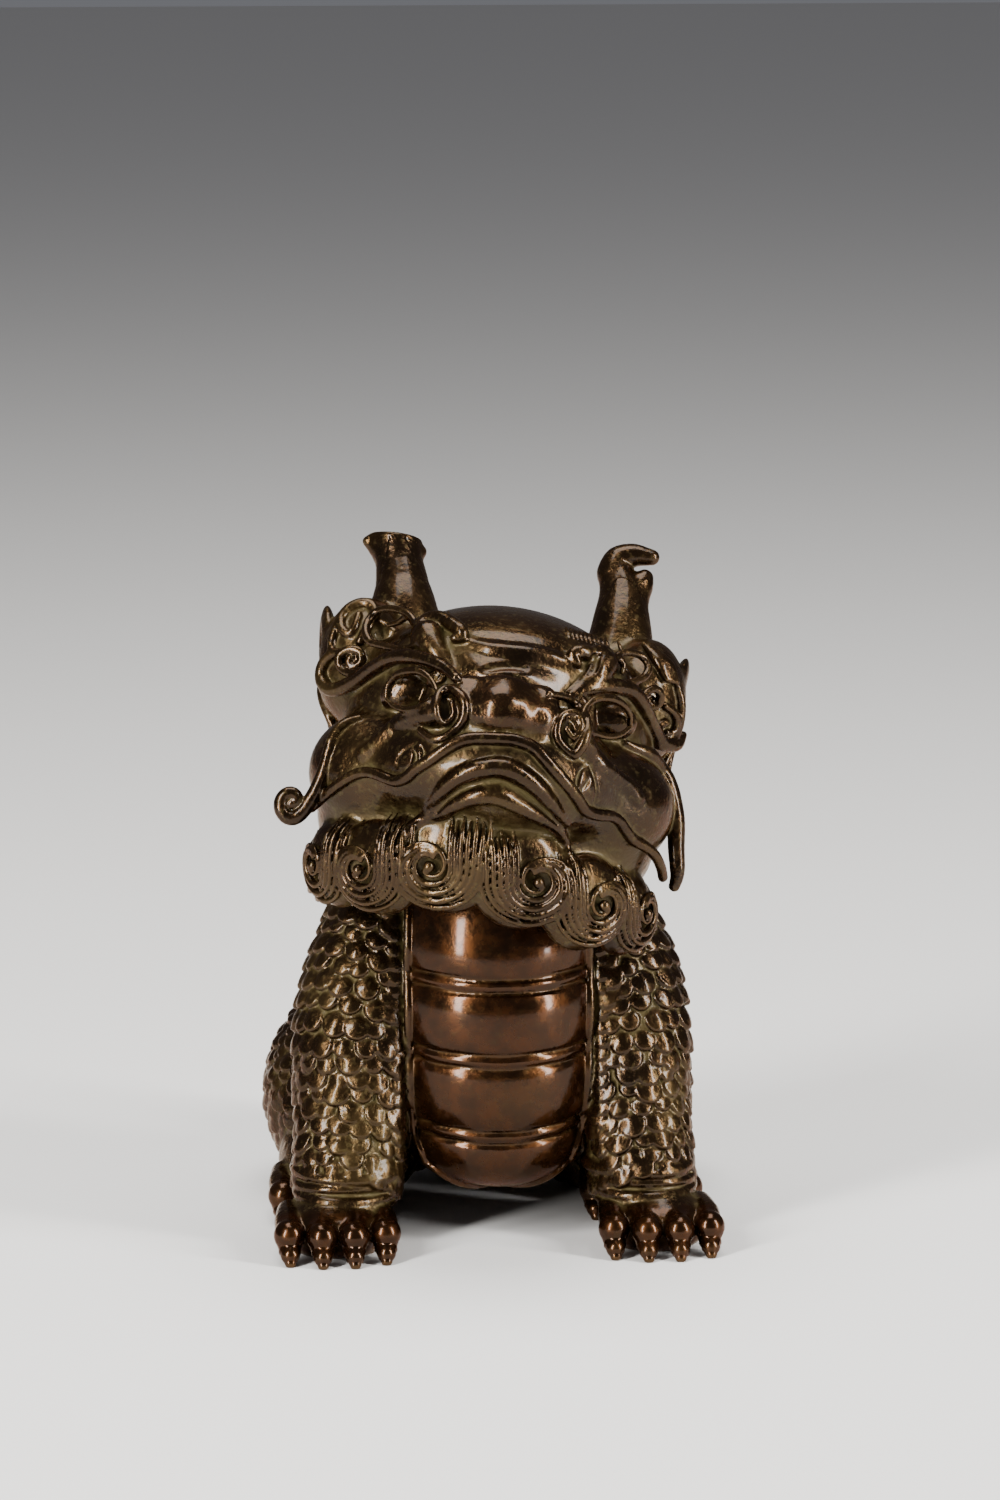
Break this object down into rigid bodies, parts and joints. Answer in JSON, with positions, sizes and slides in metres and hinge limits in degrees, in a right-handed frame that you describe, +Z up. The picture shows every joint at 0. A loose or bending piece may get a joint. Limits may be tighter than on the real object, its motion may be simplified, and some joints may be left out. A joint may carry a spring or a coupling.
{
  "type": "seated mythical beast figure",
  "caption": "Seated bronze mythical beast with curled horns, scroll brows, a curled beard, scaled legs and a plated belly, standing on four clawed paws.",
  "frame": {"origin": "centre of the figure's footprint box, on the plane that its soles stand on", "axes": "+Z up, the beast's body faces -Y, +X is to the viewer's right as one looks at its face"},
  "size_m": [0.0636, 0.0912, 0.0985],
  "materials": {
    "patinated_bronze": "waxed dark brown bronze patina, rubbed chestnut on the belly plates and claws, dusty green-gold in the recesses"
  },
  "bodies": {
    "root": {"beast_figure": "patinated_bronze"}
  },
  "joints": []
}
